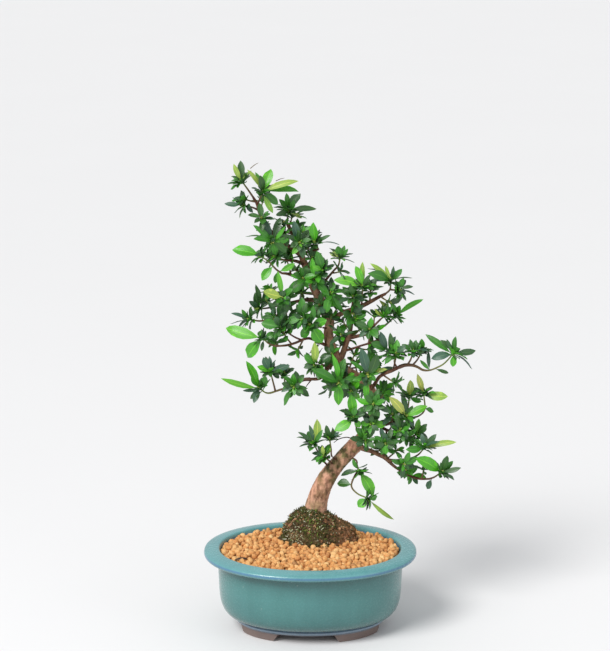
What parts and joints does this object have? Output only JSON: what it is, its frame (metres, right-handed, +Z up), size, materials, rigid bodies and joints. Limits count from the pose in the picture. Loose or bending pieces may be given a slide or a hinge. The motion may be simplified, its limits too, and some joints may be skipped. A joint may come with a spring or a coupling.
{
  "type": "satsuki azalea bonsai",
  "caption": "Satsuki azalea bonsai with a leaning trunk and tiers of leafy sprays, rooted in clay granules in a glazed oval pot with low feet.",
  "frame": {"origin": "middle of the whole plant and pot's box, on the surface that the pot's feet stand on", "axes": "+Z up, +X to the right of the front view along the pot's long side, +Y to the back"},
  "size_m": [0.2406, 0.1548, 0.4219],
  "materials": {
    "teal_glaze": "teal glaze, glossy, thin and pale along the rim",
    "baked_clay": "matt orange-tan baked clay granules",
    "root_fibre": "rough brown root fibre with moss",
    "bark": "matt pinkish-brown bark",
    "black_plastic": "matt black plastic mesh",
    "leaf": "leathery leaf, dark green to light green, slightly glossy"
  },
  "bodies": {
    "root": {"drain_screen_left": "black_plastic", "drain_screen_right": "black_plastic", "pot": "teal_glaze", "root_ball": "root_fibre", "soil": "baked_clay", "spray_back_lower": "leaf", "spray_back_middle": "leaf", "spray_back_right": "leaf", "spray_hooked_leaf": "leaf", "spray_inner_big_leaf": "leaf", "spray_inner_bright": "leaf", "spray_inner_left": "leaf", "spray_left_big_leaf": "leaf", "spray_left_curled": "leaf", "spray_left_dark": "leaf", "spray_left_low": "leaf", "spray_left_of_stem": "leaf", "spray_left_pale": "leaf", "spray_left_side_twig": "leaf", "spray_left_thin": "leaf", "spray_left_two_leaves": "leaf", "spray_left_upper_inner": "leaf", "spray_low_left": "leaf", "spray_low_left_second": "leaf", "spray_low_right": "leaf", "spray_middle_fan": "leaf", "spray_middle_hanging": "leaf", "spray_middle_whorl": "leaf", "spray_right_blue": "leaf", "spray_right_branch_end": "leaf", "spray_right_dark": "leaf", "spray_right_far_light": "leaf", "spray_right_far_tip": "leaf", "spray_right_inner": "leaf", "spray_right_light": "leaf", "spray_right_low_tip": "leaf", "spray_right_lower_inner": "leaf", "spray_right_middle_dark": "leaf", "spray_right_middle_yellow": "leaf", "spray_right_twig_end": "leaf", "spray_right_under": "leaf", "spray_right_whorl": "leaf", "spray_second_leader_tip": "leaf", "spray_small_top_right": "leaf", "spray_stump_front": "leaf", "spray_stump_left": "leaf", "spray_top_inner": "leaf", "spray_top_left_middle": "leaf", "spray_top_left_second": "leaf", "spray_top_left_side": "leaf", "spray_top_left_tip": "leaf", "spray_top_middle": "leaf", "spray_top_right": "leaf", "spray_trunk_whorl": "leaf", "spray_under_stem": "leaf", "spray_upper_right_bright": "leaf", "spray_upper_right_inner": "leaf", "spray_upper_right_tip": "leaf", "wood": "bark"}
  },
  "joints": []
}
